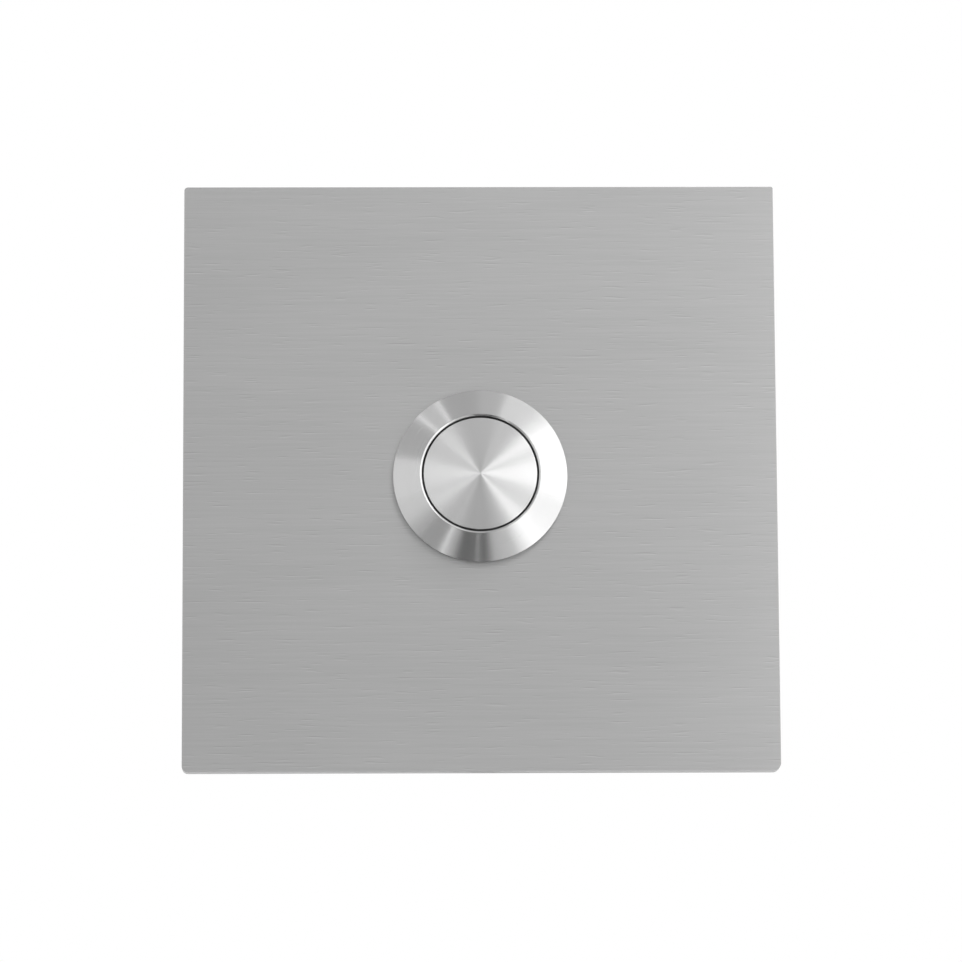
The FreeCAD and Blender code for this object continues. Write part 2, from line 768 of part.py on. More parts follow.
def make_base_retaining_ring():
    """The circlip that holds the base in, with its two lugs at the bottom."""
    body = new_body("base_retaining_ring")
    inner = "lug_path - lug_radius / 2"
    ring = new_sketch(body, "circlip_ring")
    draw_circle(ring, "0", "0", "ring_outer")
    draw_circle(ring, "0", "0", inner)
    add_pad(body, ring, "ring_thickness")
    gap = new_sketch(body, "circlip_gap")
    draw_outline(gap, rectangle("-ring_gap_width / 2", "ring_gap_width / 2", "0", "2 * ring_outer"))
    cut_pocket(body, gap)
    lug_across = "(ring_gap_width / 2 + lug_radius)"
    lug_along = f"sqrt(lug_path ^ 2 - {lug_across} ^ 2)"
    lugs = new_sketch(body, "circlip_lugs")
    holes = new_sketch(body, "circlip_lug_holes")
    for side in ("", "-"):
        draw_circle(lugs, f"{side}{lug_across}", lug_along, "lug_radius")
        draw_circle(holes, f"{side}{lug_across}", lug_along, "lug_hole_radius")
    add_pad(body, lugs, "ring_thickness")
    cut_pocket(body, holes)
    return set_depth(body, "base_back")


# Terminal hardware

def make_terminal_washers():
    """The square plates that clamp the wires."""
    plate = new_body("wire_plate")
    half = "(screw_radius + wire_plate_margin)"
    square = new_sketch(plate, "wire_plate_square")
    draw_outline(square, rectangle(f"-{half}", half, f"-{half}", half))
    draw_circle(square, "0", "0", "screw_radius + wire_plate_clearance")
    add_pad(plate, square, "wire_plate_thickness")
    plate.setExpression(".Placement.Base.x", formula("screw_offset"))
    return set_depth(mirrored_pair("terminal_washers", plate), "pad_back")


def make_terminal_screws():
    """The slotted screws that clamp the wires."""
    screw = new_body("screw")
    total = "screw_length + screw_head_height"
    head = "screw_radius + screw_head_overhang"
    turn_outline(screw, "screw_turned", [
        ("0", "0"),
        ("screw_radius - screw_tip_chamfer", "0"),
        ("screw_radius", "screw_tip_chamfer"),
        ("screw_radius", "screw_length"),
        (head, "screw_length"),
        (head, total),
        ("0", total),
    ])
    slot = new_sketch(screw, "screw_slot")
    slot.setExpression(".AttachmentOffset.Base.z", formula(f"{total} - screw_slot_depth"))
    draw_outline(slot, rectangle(f"-({head})", head, "-screw_slot_width / 2", "screw_slot_width / 2"))
    cut_pocket(screw, slot, "screw_slot_depth")
    screw.setExpression(".Placement.Base.x", formula("screw_offset"))
    return set_depth(mirrored_pair("terminal_screws", screw), "wire_plate_back - screw_length")


def build_pieces():
    """Every piece of the button, in the order in which it is put together."""
    return [
        make_face_plate(),
        make_mounting_studs(),
        make_wall_gasket(),
        make_button_body(),
        make_ring("bezel_seal_ring", "barrel_radius + push_fit", "bezel_seal_outer - push_fit",
                  "bezel_seal_thickness", "plate_front - bezel_seal_thickness"),
        make_lock_washer(),
        make_clamp_nut(),
        make_push_cap(),
        make_ring_seal("stem_seal_ring", "guide_bore + stem_seal_section / 2", "stem_seal_section",
                       "(stem_seal_front + stem_seal_back) / 2"),
        make_cap_retaining_clip(),
        make_plunger(),
        make_coil("return_spring", "return_mean", "return_wire", "return_turns",
                  "(base_front - flange_back)", "flange_back"),
        make_coil("contact_spring", "contact_spring_mean", "contact_wire", "contact_turns",
                  "contact_spring_length", "flange_back"),
        make_contact_bridge(),
        make_contact_pair("moving_contacts", "bridge_thickness", False, "bridge_front"),
        make_ring("bridge_keeper", "pin_radius + push_fit", "keeper_radius", "keeper_thickness",
                  "keeper_front"),
        make_contact_pair("fixed_contacts", "strip_thickness", True, "fixed_contact_front"),
        make_terminal("terminal_right", False),
        make_terminal("terminal_left", True),
        make_switch_base(),
        make_ring_seal("base_seal_ring", "rear_bore - base_seal_section / 2", "base_seal_section",
                       "(base_seal_front + base_seal_back) / 2"),
        make_base_retaining_ring(),
        make_terminal_washers(),
        make_terminal_screws(),
    ]


def check_pieces(pieces):
    """Stops if anything in the document failed or a piece has no sound shape."""
    for item in doc.Objects:
        if "Invalid" in item.State or "Error" in item.State:
            raise RuntimeError(f"{item.Name} is {item.State}")
    for piece in pieces:
        if piece.Shape.isNull() or not piece.Shape.isValid() or not piece.Shape.Solids:
            raise RuntimeError(f"{piece.Label} has no sound shape")


pieces = build_pieces()
doc.recompute()
check_pieces(pieces)
os.makedirs("parts", exist_ok=True)
for piece in pieces:
    piece.Shape.exportStep(f"parts/{piece.Label}.step")
    print(f"{piece.Label}: {len(piece.Shape.Solids)} solid(s), {piece.Shape.Volume:.2f} mm3")
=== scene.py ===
"""Doorbell button: the finishes, threads, springs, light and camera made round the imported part.

Lengths are in metres. The front of the part is -Y, up is +Z, and the button's axis is the Y axis.
"""
import json
import logging
import math
from collections.abc import Callable
from dataclasses import dataclass
from enum import Enum

import bmesh
import bpy
from mathutils import Matrix, Vector


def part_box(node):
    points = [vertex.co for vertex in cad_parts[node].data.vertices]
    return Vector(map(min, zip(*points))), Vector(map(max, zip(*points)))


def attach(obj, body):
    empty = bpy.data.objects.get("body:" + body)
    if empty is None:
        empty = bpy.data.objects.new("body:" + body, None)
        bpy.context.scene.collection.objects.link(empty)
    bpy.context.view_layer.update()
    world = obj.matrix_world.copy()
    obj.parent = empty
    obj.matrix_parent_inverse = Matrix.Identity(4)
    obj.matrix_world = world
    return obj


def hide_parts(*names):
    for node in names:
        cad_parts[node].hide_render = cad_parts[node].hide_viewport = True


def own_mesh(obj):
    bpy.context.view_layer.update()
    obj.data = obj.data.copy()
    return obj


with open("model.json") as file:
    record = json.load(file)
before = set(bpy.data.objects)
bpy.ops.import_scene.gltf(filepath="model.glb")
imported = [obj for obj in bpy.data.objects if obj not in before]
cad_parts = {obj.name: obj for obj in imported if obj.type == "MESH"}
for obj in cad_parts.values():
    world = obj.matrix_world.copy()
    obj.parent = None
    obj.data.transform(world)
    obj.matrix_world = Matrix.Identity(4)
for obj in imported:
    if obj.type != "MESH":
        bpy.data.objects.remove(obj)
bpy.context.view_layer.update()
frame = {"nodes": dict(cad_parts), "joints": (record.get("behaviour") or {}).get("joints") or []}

MM = 0.001
FULL_TURN = 2 * math.pi
AXIS = (0.0, 1.0, 0.0)

# How near two points are when they are one, and when they are at the same depth
WELD = 0.00002 * MM
AT_DEPTH = 0.001 * MM

# How many steps make a full turn, or a corner, a crown or a rounded rim
ROUND_STEPS = 192
THREAD_STEPS = 96
COIL_STEPS = 64
HOLE_STEPS = 48
STUD_STEPS = 36
WIRE_SIDES = 14
CROWN_STEPS = 24
RIM_STEPS = 12
CORNER_STEPS = 10

# Angles between faces, in degrees: an edge above a CORNER is softened, and one below a SAME is hidden
ANY_CORNER = 25.0
CLEAR_CORNER = 40.0
SQUARE_CORNER = 60.0
SAME_FLAT = 0.4
SAME_FACE = 9.0
SAME_STAMPING = 24.0
SAME_WIRE = 40.0

# Directions in a section, in degrees from outward towards the back
FORWARD = 270.0
OUTWARD = 360.0

# A quarter turn, from along the marks of the tool to across them, which is how a highlight spreads
ACROSS_MARKS = 0.25

Pair = tuple[float, float]
Colour = tuple[float, float, float]

log = logging.getLogger("doorbell_button")


class Body(Enum):
    """The bodies that the pieces move with."""

    HOUSING = "housing"
    BUTTON = "button"
    BRIDGE = "bridge"


# Finishes

def opaque(colour: "Signal | Colour") -> "Signal | tuple[float, float, float, float]":
    """A colour with the fourth number that a colour socket asks for."""
    return colour if isinstance(colour, Signal) else (*colour, 1.0)


def grey(level: float) -> Colour:
    """A neutral colour."""
    return (level, level, level)


def scaled(colour: Colour, share: float) -> Colour:
    """The colour made darker or lighter by a share."""
    return (colour[0] * share, colour[1] * share, colour[2] * share)


class Signal:
    """A socket in a finish. Operators on it add the Math nodes that work out the result."""

    def __init__(self, recipe: "Recipe", socket: bpy.types.NodeSocket) -> None:
        """Wrap one output socket of a recipe."""
        self.recipe = recipe
        self.socket = socket

    def math(self, operation: str, *values: "Signal | float") -> "Signal":
        """Work out one Math operation on the values."""
        return self.recipe.node("Math", {"operation": operation}, dict(enumerate(values)))

    def __add__(self, other: "Signal | float") -> "Signal":
        """self + other."""
        return self.math("ADD", self, other)

    def __sub__(self, other: "Signal | float") -> "Signal":
        """self - other."""
        return self.math("SUBTRACT", self, other)

    def __rsub__(self, other: float) -> "Signal":
        """other - self."""
        return self.math("SUBTRACT", other, self)

    def __mul__(self, other: "Signal | float") -> "Signal":
        """self * other."""
        return self.math("MULTIPLY", self, other)

    def __abs__(self) -> "Signal":
        """The value without its sign."""
        return self.math("ABSOLUTE", self)

    def largest(self, other: "Signal | float") -> "Signal":
        """The larger of the two values."""
        return self.math("MAXIMUM", self, other)

    def rise(self, low: float, high: float) -> "Signal":
        """Go smoothly from 0 where the value is low to 1 where it is high."""
        ends = {"Value": self, "From Min": low, "From Max": high}
        return self.recipe.node("MapRange", {"interpolation_type": "SMOOTHSTEP"}, ends)


class Recipe:
    """The node tree of one material."""

    def __init__(self, name: str) -> None:
        """Start an empty material.

        Args:
            name: the material's name.
        """
        self.material = bpy.data.materials.new(name)
        self.material.use_nodes = True
        self.tree = self.material.node_tree
        self.tree.nodes.clear()

    def node(self, kind: str, settings: dict | None = None, values: dict | None = None,
             out: int | str = 0) -> Signal:
        """Add a node, give it its settings, and then set or link its sockets.

        Args:
            kind: the node's type, without ShaderNode.
            settings: what the node's own properties are set to.
            values: a number, a colour or a Signal for each input socket, by name or number.
            out: which output to hand back.

        Returns:
            That output.
        """
        made = self.tree.nodes.new(f"ShaderNode{kind}")
        for name, setting in (settings or {}).items():
            setattr(made, name, setting)
        for name, given in (values or {}).items():
            if isinstance(given, Signal):
                self.tree.links.new(given.socket, made.inputs[name])
            else:
                made.inputs[name].default_value = given
        return Signal(self, made.outputs[out])

    def place(self) -> Signal:
        """The point's place in the part's own frame."""
        return self.node("TexCoord", out="Object")

    def split(self, vector: Signal) -> list[Signal]:
        """The three numbers of a vector."""
        outputs = self.node("SeparateXYZ", values={0: vector}).socket.node.outputs
        return [Signal(self, output) for output in outputs]

    def join(self, x: Signal | float, y: Signal | float, z: Signal | float) -> Signal:
        """A vector of three numbers."""
        return self.node("CombineXYZ", values={0: x, 1: y, 2: z})

    def noise(self, vector: Signal, scale: float, detail: float = 2.0, rough: float = 0.5) -> Signal:
        """Soft random variation, mostly within 0.2 of 0, with scale lumps in a unit of the vector."""
        values = {"Vector": vector, "Scale": scale, "Detail": detail, "Roughness": rough}
        return self.node("TexNoise", values=values) - 0.5

    def blend(self, share: Signal | float, first: Signal | Colour, second: Signal | Colour) -> Signal:
        """The first colour where share is 0, and the second where it is 1."""
        colours = {0: share, 6: opaque(first), 7: opaque(second)}
        return self.node("Mix", {"data_type": "RGBA"}, colours, out=2)

    def tone(self, colour: Colour, change: Signal) -> Signal:
        """The colour made lighter or darker by a share, such as -0.1 for a tenth darker."""
        return self.node("VectorMath", {"operation": "SCALE"}, {0: colour, "Scale": change + 1.0})

    def bump(self, height: Signal, distance: float, strength: float = 1.0) -> Signal:
        """A normal for a surface whose height goes from 0 to distance."""
        values = {"Strength": strength, "Distance": distance, "Height": height}
        return self.node("Bump", values=values)

    def finish(self, kind: str, values: dict) -> bpy.types.Material:
        """Add the shader and link it to the output.

        Args:
            kind: the shader's type, without ShaderNode.
            values: what its sockets are set or linked to.

        Returns:
            The material.
        """
        shader = self.node(kind, values=values)
        output = self.tree.nodes.new("ShaderNodeOutputMaterial")
        self.tree.links.new(shader.socket, output.inputs["Surface"])
        return self.material


@dataclass(frozen=True)
class Brushed:
    """Stainless plate brushed from side to side, with duller cut edges and a plain rolled back.

    A stretch is how fast a pattern changes along the brushing, against 1 across it. The short marks are
    real, but each is drawn with a painted highlight on one side and painted shade on the other.
    """

    name: str
    steel: Colour = grey(0.417)
    cut_edge: Colour = grey(0.47)
    metallic: float = 0.60
    roughness: float = 0.33
    streak: float = 0.17
    streak_stretch: float = 0.016
    streak_scale: float = 5200.0
    streak_roughness: float = 0.04
    # How strongly the short marks are drawn as painted highlight and painted shade
    mark_painted_relief: float = 0.16
    mark_stretch: float = 0.06
    mark_scale: float = 4300.0
    lit_shade_offset: float = 0.10 * MM
    mark_levels: Pair = (0.10, 0.26)
    cloud: float = 0.09
    cloud_stretch: float = 0.35
    cloud_scale: float = 90.0
    edge_band: float = 0.10 * MM
    edge_fade: float = 0.04 * MM
    edge_roughness: float = 0.08
    back_start: float = 0.3 * MM
    back_full: float = 0.5 * MM
    back_share: float = 0.45
    brushing_depth: float = 0.0002 * MM

    def material(self) -> bpy.types.Material:
        """Make the material.

        Returns:
            The material.
        """
        recipe = Recipe(self.name)
        x, y, z = recipe.split(recipe.place())
        low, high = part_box("face_plate")
        streaks = recipe.noise(recipe.join(x * self.streak_stretch, y, z), self.streak_scale,
                               detail=3.0)
        clouds = recipe.noise(recipe.join(x * self.cloud_stretch, y, z), self.cloud_scale, detail=3.0)
        # Real short marks in the steel, each drawn as a lighter and a darker copy set a little apart up
        # and down: a painted highlight and painted shade, as if light fell on each mark from one side
        upper, lower = (
            recipe.noise(recipe.join(x * self.mark_stretch, y, height), self.mark_scale, detail=1.0)
            for height in (z, z + self.lit_shade_offset))
        marks = lower.rise(*self.mark_levels) - upper.rise(*self.mark_levels)
        change = streaks * self.streak + marks * self.mark_painted_relief + clouds * self.cloud
        beside = (abs(x) - (high.x - self.edge_band)).largest(abs(z) - (high.z - self.edge_band))
        behind = y.rise(low.y + self.back_start, low.y + self.back_full)
        worn = beside.rise(0.0, self.edge_fade).largest(behind * self.back_share)
        return recipe.finish("BsdfPrincipled", {
            "Base Color": recipe.blend(worn, recipe.tone(self.steel, change), self.cut_edge),
            "Metallic": self.metallic,
            "Roughness": streaks * self.streak_roughness + self.roughness + worn * self.edge_roughness,
            "Anisotropic": 1.0,
            "Anisotropic Rotation": ACROSS_MARKS,
            "Normal": recipe.bump(streaks, self.brushing_depth),
        })


@dataclass(frozen=True)
class Turned:
    """Steel as the lathe leaves it: fine rings about the axis, which draw the light out in spokes.

    A drift is how much a ring changes on its way round. Lean tips the whole face outward a little.
    """

    name: str
    steel: Colour = grey(0.47)
    roughness: float = 0.27
    ring: float = 0.018
    ring_pitch: float = 0.10 * MM
    ring_drift: float = 0.8
    ring_depth: float = 0.00010 * MM
    wide_share: float = 0.12
    wide_drift: float = 0.3
    lean: float = 0.0

    def material(self) -> bpy.types.Material:
        """Make the material.

        Returns:
            The material.
        """
        recipe = Recipe(self.name)
        x, y, z = recipe.split(recipe.place())
        outward = recipe.join(x, 0.0, z)
        radius = recipe.node("VectorMath", {"operation": "LENGTH"}, {0: outward}, out="Value")
        around = recipe.node("VectorMath", {"operation": "NORMALIZE"}, {0: outward})
        cosine, _, sine = recipe.split(around)
        along = (radius + y) * (1.0 / self.ring_pitch)
        narrow = recipe.join(cosine * self.ring_drift, along, sine * self.ring_drift)
        wide = recipe.join(cosine * self.wide_drift, along * self.wide_share, sine * self.wide_drift)
        rings = recipe.noise(narrow, 1.0, detail=3.0, rough=0.6)
        change = rings * self.ring + recipe.noise(wide, 1.0) * self.ring
        return recipe.finish("BsdfPrincipled", {
            "Base Color": recipe.tone(self.steel, change),
            "Metallic": 1.0,
            "Roughness": rings * self.ring + self.roughness,
            "Anisotropic": 1.0,
            "Anisotropic Rotation": ACROSS_MARKS,
            "Normal": recipe.bump(rings * self.ring_depth - radius * self.lean, 1.0),
            "Tangent": recipe.node("Tangent", {"direction_type": "RADIAL", "axis": "Y"}),
        })


@dataclass(frozen=True)
class Metal:
    """Plated, rolled or cast metal with soft mottling and fine marks."""

    name: str
    metal: Colour
    roughness: float = 0.35
    mottle: float = 0.10
    lump: float = 0.8 * MM
    lump_height: float = 0.5
    grain: float = 0.09 * MM
    grain_share: float = 0.4
    grain_roughness: float = 0.08
    dull_levels: Pair = (-0.05, 0.30)
    dull_roughness: float = 0.12
    depth: float = 0.002 * MM
    tarnish: Colour | None = None

    def material(self) -> bpy.types.Material:
        """Make the material.

        Returns:
            The material.
        """
        recipe = Recipe(self.name)
        place = recipe.place()
        lumps = recipe.noise(place, 1.0 / self.lump, detail=3.0)
        grain = recipe.noise(place, 1.0 / self.grain)
        dull = (lumps + grain * self.grain_share).rise(*self.dull_levels)
        clean = recipe.tone(self.metal, lumps * self.mottle)
        stained = self.tarnish or scaled(self.metal, 1.0 - self.mottle)
        return recipe.finish("BsdfPrincipled", {
            "Base Color": recipe.blend(dull, clean, stained),
            "Metallic": 1.0,
            "Roughness": dull * self.dull_roughness + grain * self.grain_roughness + self.roughness,
            "Normal": recipe.bump(lumps * self.lump_height + grain, self.depth),
        })


@dataclass(frozen=True)
class Moulded:
    """Moulded plastic or rubber: a fine spark-eroded texture with slightly glossier patches."""

    name: str
    colour: Colour
    roughness: float = 0.48
    texture: float = 0.12 * MM
    patch: float = 1.68 * MM
    patch_roughness: float = 0.2
    fine_roughness: float = 0.1
    depth: float = 0.004 * MM
    mottle: float = 0.12

    def material(self) -> bpy.types.Material:
        """Make the material.

        Returns:
            The material.
        """
        recipe = Recipe(self.name)
        place = recipe.place()
        fine = recipe.noise(place, 1.0 / self.texture, rough=0.6)
        patches = recipe.noise(place, 1.0 / self.patch)
        return recipe.finish("BsdfPrincipled", {
            "Base Color": recipe.tone(self.colour, patches * self.mottle + fine * self.mottle),
            "Roughness": patches * self.patch_roughness + fine * self.fine_roughness + self.roughness,
            "Normal": recipe.bump(fine, self.depth),
        })


@dataclass(frozen=True)
class Foam:
    """Closed-cell foam: a dull skin broken by small open cells, with painted shade in the cells."""

    name: str
    colour: Colour
    roughness: float = 0.82
    cell: float = 0.22 * MM
    cell_dome: float = 0.5
    depth: float = 0.05 * MM
    strength: float = 0.6
    open_patch: float = 0.55 * MM
    open_levels: Pair = (-0.02, 0.12)
    pit_levels: Pair = (0.10, 0.45)
    pit_depth: float = 0.6
    pit_painted_shade: float = 0.25
    pit_roughness: float = 0.1

    def material(self) -> bpy.types.Material:
        """Make the material.

        Returns:
            The material.
        """
        recipe = Recipe(self.name)
        place = recipe.place()
        values = {"Vector": place, "Scale": 1.0 / self.cell, "Randomness": 1.0}
        cells = recipe.node("TexVoronoi", {"feature": "F1"}, values, out="Distance")
        open_cells = recipe.noise(place, 1.0 / self.open_patch).rise(*self.open_levels)
        pits = (1.0 - cells.rise(*self.pit_levels)) * open_cells
        height = cells.rise(0.0, self.cell_dome) - pits * self.pit_depth
        return recipe.finish("BsdfPrincipled", {
            # The open cells are painted darker, as painted shade inside the pits
            "Base Color": recipe.blend(pits, self.colour, scaled(self.colour, self.pit_painted_shade)),
            "Roughness": pits * self.pit_roughness + self.roughness,
            "Normal": recipe.bump(height, self.depth, self.strength),
        })


@dataclass(frozen=True)
class Paper:
    """Dull studio paper with a faint mottle."""

    name: str
    colour: Colour
    roughness: float = 0.9
    mottle: float = 0.02
    mottle_scale: float = 3.0

    def material(self) -> bpy.types.Material:
        """Make the material.

        Returns:
            The material.
        """
        recipe = Recipe(self.name)
        mottle = recipe.noise(recipe.place(), self.mottle_scale)
        return recipe.finish("BsdfPrincipled", {
            "Base Color": recipe.tone(self.colour, mottle * self.mottle),
            "Roughness": self.roughness,
        })


@dataclass(frozen=True)
class WhiteSheet:
    """A backdrop that is plain white in the picture, in metal and through anything clear."""

    name: str
    paper: Colour = grey(0.8)

    def material(self) -> bpy.types.Material:
        """Make the material.

        Returns:
            The material.
        """
        recipe = Recipe(self.name)
        rays = recipe.node("LightPath").socket.node.outputs
        camera, metal, clear = (
            Signal(recipe, rays[f"Is {kind} Ray"]) for kind in ("Camera", "Glossy", "Transmission"))
        white = recipe.node("Emission", values={"Color": opaque(grey(1.0)), "Strength": 1.0})
        paper = recipe.node("BsdfDiffuse", values={"Color": opaque(self.paper)})
        return recipe.finish("MixShader", {0: camera.largest(metal).largest(clear), 1: paper, 2: white})


FINISHES = {
    "plate_steel": Brushed("plate_steel_brushed"),
    "turned_steel": Turned("turned_steel_bright"),
    "faced_steel": Turned("faced_steel_bright", grey(0.515), ring=0.006, ring_depth=0.00001 * MM,
                          lean=0.03),
    "stud_steel": Metal("stud_steel_bright", (0.46, 0.46, 0.45), 0.30),
    "nut_steel": Metal("nut_steel_nickel", (0.52, 0.51, 0.48), 0.24, mottle=0.06),
    "washer_steel": Metal("washer_steel_zinc", (0.50, 0.51, 0.53), 0.38, mottle=0.14),
    "spring_steel": Metal("spring_steel_drawn", (0.40, 0.40, 0.40), 0.30, grain=0.05 * MM),
    "clip_steel": Metal("clip_steel_phosphated", (0.060, 0.058, 0.056), 0.52, mottle=0.25),
    "screw_steel": Metal("screw_steel_nickel", (0.53, 0.52, 0.49), 0.28, mottle=0.08),
    "foam": Foam("gasket_foam_black", grey(0.030)),
    "seal_rubber": Moulded("seal_rubber_black", grey(0.018), 0.55, depth=0.002 * MM),
    "plunger_plastic": Moulded("plunger_plastic_natural", (0.72, 0.69, 0.62), 0.38),
    "base_plastic": Moulded("base_plastic_black", grey(0.028), 0.42),
    "terminal_brass": Metal("terminal_brass_rolled", (0.66, 0.46, 0.20), 0.30,
                            tarnish=(0.48, 0.31, 0.13)),
    "bridge_bronze": Metal("bridge_bronze_rolled", (0.62, 0.37, 0.22), 0.30,
                           tarnish=(0.44, 0.25, 0.15)),
    "contact_silver": Metal("contact_silver_soft", (0.78, 0.76, 0.72), 0.26,
                            tarnish=(0.56, 0.52, 0.45)),
}


# Shaping

def put_in_scene(name: str, data: bpy.types.ID) -> bpy.types.Object:
    """Make an object of a mesh, a lamp or a camera.

    Args:
        name: the object's name.
        data: what it is made of.

    Returns:
        The object, in the scene.
    """
    made = bpy.data.objects.new(name, data)
    bpy.context.scene.collection.objects.link(made)
    return made


class Blank:
    """A mesh being worked, like stock on a bench, until it is kept as one piece of the part."""

    def __init__(self) -> None:
        """Start with no stock."""
        self.mesh = bmesh.new()

    @classmethod
    def from_node(cls, node: str) -> "Blank":
        """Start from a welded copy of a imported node, with its flat faces made whole.

        Args:
            node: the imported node.

        Returns:
            The blank.
        """
        blank = cls()
        blank.mesh.from_mesh(frame["nodes"][node].data)
        blank.weld(0.5 * AT_DEPTH)
        bmesh.ops.dissolve_limit(blank.mesh, angle_limit=math.radians(SAME_FLAT),
                                 verts=blank.mesh.verts, edges=blank.mesh.edges)
        return blank

    def everything(self) -> list:
        """All its points, edges and faces."""
        return [*self.mesh.verts, *self.mesh.edges, *self.mesh.faces]

    def weld(self, distance: float = WELD) -> None:
        """Merge the points that lie on each other."""
        bmesh.ops.remove_doubles(self.mesh, verts=self.mesh.verts, dist=distance)

    def turn(self, section: list[Pair]) -> None:
        """Turn a half section about the axis, open between its last point and its first.

        Args:
            section: (radius, depth) points in order.
        """
        verts = [self.mesh.verts.new((radius, depth, 0.0)) for radius, depth in section]
        edges = [self.mesh.edges.new(pair) for pair in zip(verts, verts[1:])]
        bmesh.ops.spin(self.mesh, geom=verts + edges, cent=(0, 0, 0), axis=AXIS, angle=FULL_TURN,
                       steps=ROUND_STEPS, use_merge=True)
        self.weld()

    def outline(self, corners: list[Pair], radii: list[float]) -> None:
        """Draw a closed outline in the plane Y = 0, with each corner rounded.

        Args:
            corners: (x, z) points in order.
            radii: the radius of each corner.
        """
        verts = [self.mesh.verts.new((x, 0.0, z)) for x, z in corners]
        for pair in zip(verts, verts[1:] + verts[:1]):
            self.mesh.edges.new(pair)
        for vert, radius in zip(verts, radii):
            bmesh.ops.bevel(self.mesh, geom=[vert], offset=radius, offset_type="OFFSET",
                            segments=CORNER_STEPS, profile=0.5, affect="VERTICES", material=-1)

    def circle(self, radius: float, across: float = 0.0, up: float = 0.0,
               steps: int = HOLE_STEPS) -> None:
        """Draw a circle in the plane Y = 0."""
        turn = Matrix.Translation((across, 0.0, up)) @ Matrix.Rotation(FULL_TURN / 4, 4, "X")
        bmesh.ops.create_circle(self.mesh, cap_ends=False, radius=radius, segments=steps, matrix=turn)

    def raise_slab(self, front: float, back: float) -> None:
        """Fill between the outlines drawn so far, and make the sheet a slab.

        Args:
            front: depth of its front face.
            back: depth of its back face.
        """
        bmesh.ops.triangle_fill(self.mesh, use_beauty=True, edges=self.mesh.edges)
        bmesh.ops.translate(self.mesh, verts=self.mesh.verts, vec=(0.0, front, 0.0))
        raised = bmesh.ops.extrude_face_region(self.mesh, geom=self.mesh.faces[:])["geom"]
        moved = [part for part in raised if isinstance(part, bmesh.types.BMVert)]
        bmesh.ops.translate(self.mesh, verts=moved, vec=(0.0, back - front, 0.0))

    def coil(self, mean: float, wire: float, turns: float, front: float, back: float) -> None:
        """Wind a coil of round wire.

        Args:
            mean: radius of the wire's centre line.
            wire: the wire's diameter.
            turns: how many turns it has.
            front: depth of its front end.
            back: depth of its back end.
        """
        start = Matrix.Translation((mean, front + wire / 2, 0.0))
        bmesh.ops.create_circle(self.mesh, cap_ends=True, radius=wire / 2, segments=WIRE_SIDES,
                                matrix=start)
        steps = round(COIL_STEPS * turns)
        advance = (back - front - wire) / steps
        bmesh.ops.spin(self.mesh, geom=self.everything(), cent=(0, 0, 0), axis=AXIS,
                       dvec=(0.0, advance, 0.0), angle=FULL_TURN * turns, steps=steps)

    def thread(self, crest: float, root: float, pitch: float, front: float, back: float,
               steps: int, trim: Callable[[float, float], float]) -> None:
        """Cut a right-hand thread, a turn too long at each end, and saw it off at two depths.

        Args:
            crest: radius of the tops.
            root: radius of the bottoms, larger than crest in a nut.
            pitch: how far it advances in a turn.
            front: depth at which it starts.
            back: depth at which it ends.
            steps: how many steps there are in a turn.
            trim: gives the radius at which a point ends up, from its radius and depth.
        """
        turns = math.ceil((back - front) / pitch) + 2
        start = front - pitch
        root_flat, crest_flat, flank = pitch * 4 / 16, pitch * 2 / 16, pitch * 5 / 16
        profile = [(root, 0.0), (root, root_flat), (crest, root_flat + flank),
                   (crest, root_flat + flank + crest_flat), (root, pitch)]
        verts = [self.mesh.verts.new((radius, start + along, 0.0)) for radius, along in profile]
        edges = [self.mesh.edges.new(pair) for pair in zip(verts, verts[1:])]
        bmesh.ops.spin(self.mesh, geom=verts + edges, cent=(0, 0, 0), axis=AXIS,
                       dvec=(0.0, pitch / steps, 0.0), angle=FULL_TURN * turns, steps=steps * turns)
        self.weld(AT_DEPTH)
        for depth, outward in ((front, -1.0), (back, 1.0)):
            bmesh.ops.bisect_plane(self.mesh, geom=self.everything(), dist=WELD, clear_outer=True,
                                   plane_co=(0.0, depth, 0.0), plane_no=(0.0, outward, 0.0))
        for vert in self.mesh.verts:
            radius = math.hypot(vert.co.x, vert.co.z)
            share = trim(radius, vert.co.y) / radius
            vert.co.x *= share
            vert.co.z *= share

    def close_at(self, depth: float) -> None:
        """Fill between the open rims that lie at that depth."""
        rims = [edge for edge in self.mesh.edges if edge.is_boundary
                and all(abs(vert.co.y - depth) < AT_DEPTH for vert in edge.verts)]
        bmesh.ops.triangle_fill(self.mesh, use_beauty=True, edges=rims)

    def soften(self, width: float, segments: int = 2, over: float = ANY_CORNER,
               where: Callable[[Vector], bool] = lambda middle: True) -> None:
        """Round the sharp edges.

        Args:
            width: how wide the rounding is.
            segments: how many faces it has.
            over: the angle in degrees above which an edge is sharp.
            where: says whether an edge is rounded, from its middle.
        """
        bmesh.ops.recalc_face_normals(self.mesh, faces=self.mesh.faces)
        sharp = [edge for edge in self.mesh.edges
                 if edge.is_manifold and edge.calc_face_angle(0.0) > math.radians(over)
                 and where((edge.verts[0].co + edge.verts[1].co) / 2)]
        bmesh.ops.bevel(self.mesh, geom=sharp, offset=width, offset_type="OFFSET", segments=segments,
                        profile=0.5, affect="EDGES", clamp_overlap=True, material=-1)

    def repeat(self, places: list[Pair]) -> None:
        """Move the piece to the first place, and put a copy at each of the others.

        Args:
            places: (across, up) points.
        """
        first = self.everything()
        copies = [bmesh.ops.duplicate(self.mesh, geom=first)["geom"] for _ in places[1:]]
        for (across, up), parts in zip(places, [first, *copies]):
            verts = [part for part in parts if isinstance(part, bmesh.types.BMVert)]
            bmesh.ops.translate(self.mesh, verts=verts, vec=(across, 0.0, up))

